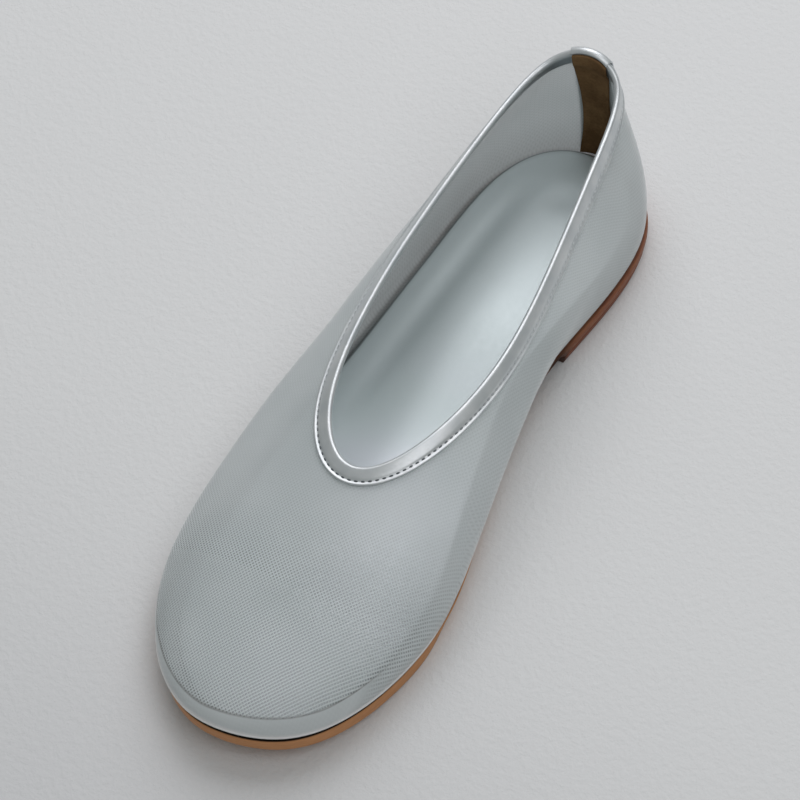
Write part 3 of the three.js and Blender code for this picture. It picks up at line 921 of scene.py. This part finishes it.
def soleLeather(name, front, back, dark):
    material, tree, shader = newMaterial(name, Roughness=0.5, Specular_IOR_Level=0.25)
    where = addNode(tree, "ShaderNodeTexCoord").outputs["Object"]
    apart = addNode(tree, "ShaderNodeSeparateXYZ", {0: where}).outputs
    fibre = addNode(tree, "ShaderNodeMapping", {"Vector": where, "Scale": (1.0, 1.0, 9.0)}).outputs[0]
    layers = noise(tree, 150.0, 3.0, 0.6, fibre)
    grain = noise(tree, 900.0, 3.0)
    toBack = between(tree, apart["Y"], -0.02, 0.05)
    tone = mixColour(tree, toBack, front, back)
    worn = mixColour(tree, between(tree, layers, 0.25, 0.75, 0.0, 0.45), tone, dark)
    # painted shade: near black on the sole's top ledge, along the edge at the waist and on the heel's breast
    paintedShade = addNode(tree, "ShaderNodeAttribute", attribute_name="paintedShade").outputs["Fac"]
    colour = mixColour(tree, paintedShade, worn, (0.010, 0.006, 0.004))
    tree.links.new(colour, shader.inputs["Base Color"])
    tree.links.new(between(tree, grain, 0.2, 0.8, 0.42, 0.62, "LINEAR"), shader.inputs["Roughness"])
    bumpTo(tree, shader, math2(tree, "ADD", layers, grain), 0.00006, 0.5)
    return material


# How far the edge is cut under at the waist, most on the inner side
def waistTrim(u):
    along = -outlineAt(footAngle(u)).y
    most = sole["trim"] if u < 0.5 else sole["trim"] * 0.5
    return most * ease((along - 73) / 5) * ease((194 - along) / 42)


def makeOutsole():
    count = sole["stations"]
    stations = stationsAround(count)
    e = sole["edge"]
    rings = [(7.0, "low", 0.0), (2.6, "low", 0.0), (e, "low", 0.0), (e * 0.3, "low", e * 0.3), (0.0, "low", e),
             (-0.05, "middle", 0.35), (-0.05, "middle", 0.65), (0.0, "top", -0.55), (0.16, "top", -0.16),
             (0.5, "top", 0.0), (2.2, "top", 0.0), (7.0, "top", 0.0)]

    def place(station, level):
        inset, kind, rise = rings[level]
        u = stations[station]
        share = {"low": 1, "middle": 1 - rise, "top": 0}[kind]
        point = outlineInset(u, inset + waistTrim(u) * share)
        low, top = undersideHeight(-point.y), soleTop(-point.y)
        point.z = {"low": low + rise, "middle": low + (top - low) * rise, "top": top + rise}[kind]
        return point

    shell = growRings(count, len(rings), place)
    paintedShade = shell.verts.layers.float.new("paintedShade")
    row = shell.verts.layers.int["row"]
    for vert in shell.verts:
        # painted shade: the top ledge darker toward the back, and the edge dark in the waist
        along = origin.y - vert.co.y / mm
        top = 0.35 + 0.65 * ease((along - 60) / 40)
        vert[paintedShade] = top if vert[row] >= 9 else 0.9 * bump(along - 78, 7)
    capRing(shell, count, 0, sole["cuts"], lambda p: undersideHeight(-p.y))
    capRing(shell, count, len(rings) - 1, sole["cuts"], lambda p: soleTop(-p.y))
    material = soleLeather("soleLeather", (0.58, 0.275, 0.118), (0.20, 0.062, 0.030), (0.38, 0.165, 0.068))
    return finished(shell, "outsole_leather", "outsole", material)


makeOutsole()


def makeHeel():
    breast = last["heelLength"]

    def stationAtBreast(side):
        low, high = (0.0, 0.5) if side > 0 else (0.5, 1.0)
        for _ in range(30):
            middle = (low + high) / 2
            past = -outlineInset(middle, 0).y > breast
            if past == (side > 0):
                high = middle
            else:
                low = middle
        return (low + high) / 2

    inner, outer = stationAtBreast(1), stationAtBreast(-1)
    steps, across = 60, 20
    lift, taper = last["heelLift"], last["heelTaper"]
    rings = [(taper + 1.6, 0.0), (taper + 0.3, 0.0), (taper + 0.08, 0.1), (taper, 0.35), (taper * 0.5, lift * 0.55),
             (0.25, lift - 0.3), (0.35, lift - 0.08), (0.6, lift), (2.0, lift)]
    count = 2 * steps + across

    def edgePoint(station, inset):
        if station <= steps:
            return outlineInset(inner * station / steps, inset)
        if station >= steps + across:
            return outlineInset(outer + (1 - outer) * (station - steps - across) / steps, inset)
        first, second = outlineInset(inner, inset), outlineInset(outer, inset)
        return first.lerp(second, (station - steps) / across)

    def place(station, level):
        inset, height = rings[level]
        point = edgePoint(station, inset)
        setBack = max(inset - taper, 0) * ease((-point.y - breast + 12) / 12)
        point.y += setBack
        point.z = height
        return point

    shell = growRings(count, len(rings), place)
    paintedShade = shell.verts.layers.float.new("paintedShade")
    station = shell.verts.layers.int["station"]
    # painted shade on the heel's breast face
    for vert in shell.verts:
        vert[paintedShade] = 0.8 if steps - 1 < vert[station] < steps + across + 1 else 0.0
    capRing(shell, count, 0, 0)
    capRing(shell, count, len(rings) - 1, 0)
    material = soleLeather("heelLeather", (0.225, 0.072, 0.036), (0.225, 0.072, 0.036), (0.135, 0.042, 0.021))
    return finished(shell, "heel_block", "heel", material)


makeHeel()
print("sole and heel made")

# Floor, light and camera

ground = {"size": 6.0, "colour": (0.755, 0.757, 0.755), "far": (0.665, 0.667, 0.672)}


def makeFloor():
    shell = bmesh.new()
    bmesh.ops.create_grid(shell, x_segments=1, y_segments=1, size=ground["size"] / 2)
    data = bpy.data.meshes.new("floor")
    shell.to_mesh(data)
    shell.free()
    floor = bpy.data.objects.new("floor", data)
    bpy.context.scene.collection.objects.link(floor)
    material, tree, shader = newMaterial("paleFloor", Roughness=0.75, Specular_IOR_Level=0.3)
    rough = noise(tree, 420.0, 4.0, 0.62)
    apart = addNode(tree, "ShaderNodeSeparateXYZ", {0: addNode(tree, "ShaderNodeTexCoord").outputs["Object"]})
    # painted shade: the floor's colour darkens toward -Y, a painted falloff of the light
    cloud = math2(tree, "MULTIPLY_ADD", noise(tree, 9.0, 3.0), 0.05, apart.outputs["Y"])
    colour = mixColour(tree, between(tree, cloud, -0.18, 0.02), ground["far"], ground["colour"])
    tree.links.new(colour, shader.inputs["Base Color"])
    bumpTo(tree, shader, rough, 0.0010, 0.45)
    data.materials.append(material)


makeFloor()

lights = {
    "key": {"at": (-0.27, 0.82, 1.04), "size": 1.25, "power": 10.4, "colour": (1.0, 0.985, 1.02)},
    "side": {"at": (0.70, -0.24, 1.32), "size": 1.0, "power": 4.6, "colour": (1.0, 0.985, 1.01)},
}
world = {"colour": (0.94, 1.0, 0.985), "strength": 0.28}


def makeLight():
    for name, light in lights.items():
        data = bpy.data.lights.new(name, "AREA")
        data.size = light["size"]
        data.energy = light["power"]
        data.color = light["colour"]
        lamp = bpy.data.objects.new(name, data)
        bpy.context.scene.collection.objects.link(lamp)
        lamp.location = light["at"]
        lamp.rotation_euler = (-Vector(light["at"])).to_track_quat("-Z", "Y").to_euler()
    surround = bpy.data.worlds.new("studio")
    bpy.context.scene.world = surround
    surround.use_nodes = True
    back = surround.node_tree.nodes["Background"]
    back.inputs["Color"].default_value = (*world["colour"], 1)
    back.inputs["Strength"].default_value = world["strength"]
    bpy.context.scene.view_settings.view_transform = "Standard"


makeLight()

camera = {
    "aim": (-3.855, 0.657, 20.0), "distance": 1141.9, "azimuth": 39.092, "elevation": 55.825,
    "roll": -11.003, "lens": 162.76,
}


def makeCamera():
    data = bpy.data.cameras.new("camera")
    data.lens = camera["lens"]
    data.sensor_width = 36
    data.clip_start, data.clip_end = 0.05, 20
    eye = bpy.data.objects.new("camera", data)
    bpy.context.scene.collection.objects.link(eye)
    a, e, r = (math.radians(camera[k]) for k in ("azimuth", "elevation", "roll"))
    back = Vector((math.sin(a) * math.cos(e), -math.cos(a) * math.cos(e), math.sin(e)))
    level = Vector((math.cos(a), math.sin(a), 0))
    right = level * math.cos(r) + back.cross(level) * math.sin(r)
    up = back.cross(right)
    turn = [[right.x, up.x, back.x], [right.y, up.y, back.y], [right.z, up.z, back.z]]
    eye.matrix_world = Matrix.Translation((Vector(camera["aim"]) + back * camera["distance"]) * mm) \
        @ Matrix(turn).to_4x4()
    bpy.context.scene.camera = eye


makeCamera()
